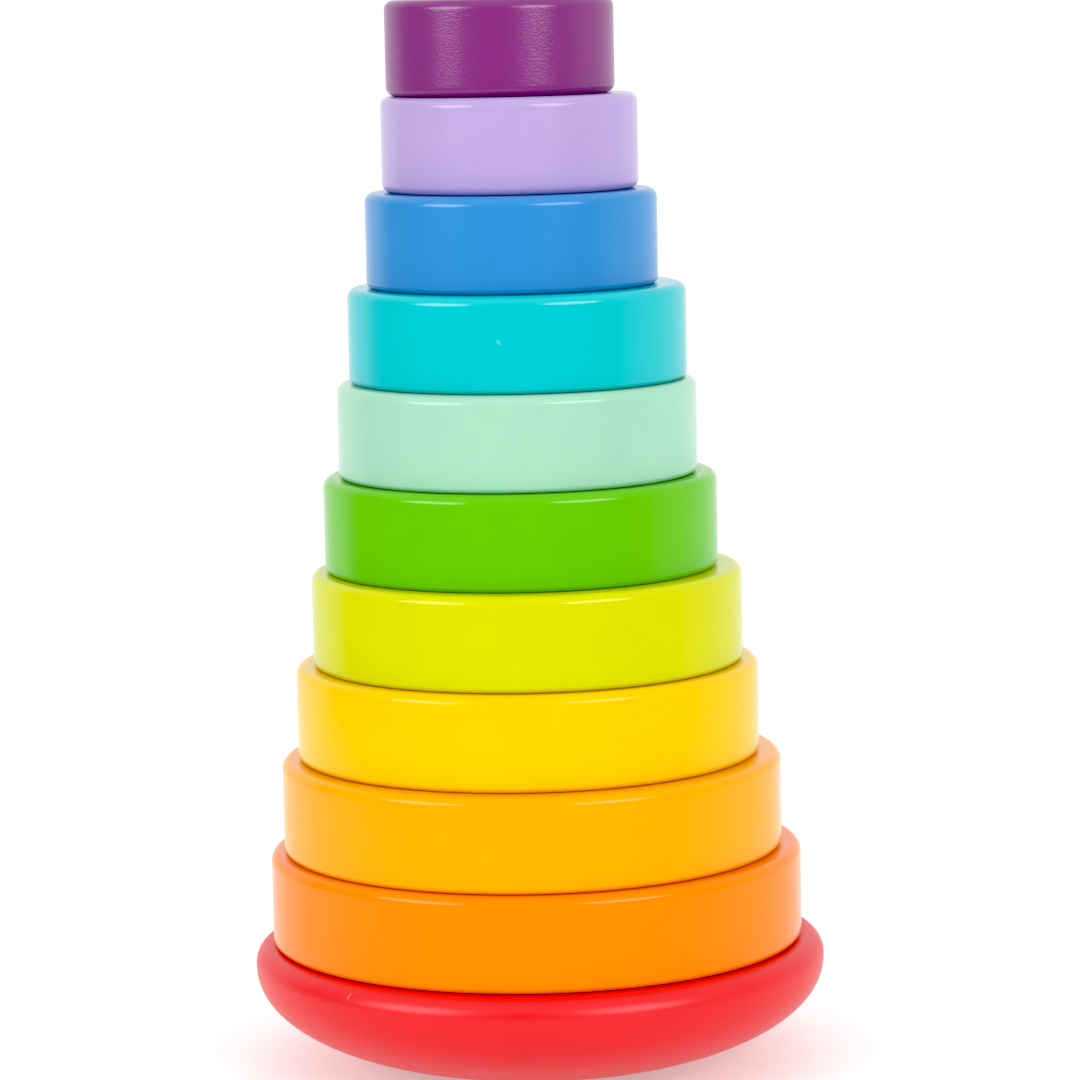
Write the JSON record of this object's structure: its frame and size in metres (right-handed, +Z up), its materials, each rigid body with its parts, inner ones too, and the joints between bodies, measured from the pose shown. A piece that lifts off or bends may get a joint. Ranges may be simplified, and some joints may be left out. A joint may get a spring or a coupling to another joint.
{
  "type": "stacking ring toy",
  "caption": "Rocking wooden stacking tower: drilled round rings of falling diameter, loose on a dowel that stands in a base with a domed underside.",
  "frame": {"origin": "middle of the small flat foot under the rocker base, the tower's lowest point, on the dowel's axis", "axes": "+Z up along the dowel; -Y towards the side that the picture shows; +X to the right of that view"},
  "size_m": [0.122, 0.122, 0.2265],
  "materials": {
    "red_enamel": "satin enamel on turned wood",
    "bare_beech": "bare sanded beech",
    "orange_enamel": "gloss enamel on wood",
    "amber_enamel": "gloss enamel on wood",
    "yellow_enamel": "gloss enamel on wood",
    "lime_enamel": "gloss enamel on wood",
    "green_enamel": "gloss enamel on wood",
    "mint_enamel": "gloss enamel on wood",
    "turquoise_enamel": "gloss enamel on wood",
    "blue_enamel": "gloss enamel on wood",
    "lavender_enamel": "gloss enamel on wood",
    "purple_enamel": "gloss enamel on wood"
  },
  "bodies": {
    "base": {"rocker_base": "red_enamel", "centre_dowel": "bare_beech"},
    "orange_ring": {"ring_01_orange": "orange_enamel"},
    "amber_ring": {"ring_02_amber": "amber_enamel"},
    "yellow_ring": {"ring_03_yellow": "yellow_enamel"},
    "lime_ring": {"ring_04_lime": "lime_enamel"},
    "green_ring": {"ring_05_green": "green_enamel"},
    "mint_ring": {"ring_06_mint": "mint_enamel"},
    "turquoise_ring": {"ring_07_turquoise": "turquoise_enamel"},
    "blue_ring": {"ring_08_blue": "blue_enamel"},
    "lavender_ring": {"ring_09_lavender": "lavender_enamel"},
    "purple_ring": {"ring_10_purple": "purple_enamel"}
  },
  "joints": [
    {"name": "lift_orange", "type": "slide", "parent": "base", "child": "orange_ring", "axis": [0, 0, 1], "range_m": [0, 0.2]},
    {"name": "lift_amber", "type": "slide", "parent": "orange_ring", "child": "amber_ring", "axis": [0, 0, 1], "range_m": [0, 0.18]},
    {"name": "lift_yellow", "type": "slide", "parent": "amber_ring", "child": "yellow_ring", "axis": [0, 0, 1], "range_m": [0, 0.16]},
    {"name": "lift_lime", "type": "slide", "parent": "yellow_ring", "child": "lime_ring", "axis": [0, 0, 1], "range_m": [0, 0.14]},
    {"name": "lift_green", "type": "slide", "parent": "lime_ring", "child": "green_ring", "axis": [0, 0, 1], "range_m": [0, 0.12]},
    {"name": "lift_mint", "type": "slide", "parent": "green_ring", "child": "mint_ring", "axis": [0, 0, 1], "range_m": [0, 0.1]},
    {"name": "lift_turquoise", "type": "slide", "parent": "mint_ring", "child": "turquoise_ring", "axis": [0, 0, 1], "range_m": [0, 0.08]},
    {"name": "lift_blue", "type": "slide", "parent": "turquoise_ring", "child": "blue_ring", "axis": [0, 0, 1], "range_m": [0, 0.06]},
    {"name": "lift_lavender", "type": "slide", "parent": "blue_ring", "child": "lavender_ring", "axis": [0, 0, 1], "range_m": [0, 0.04]},
    {"name": "lift_purple", "type": "slide", "parent": "lavender_ring", "child": "purple_ring", "axis": [0, 0, 1], "range_m": [0, 0.02]}
  ]
}
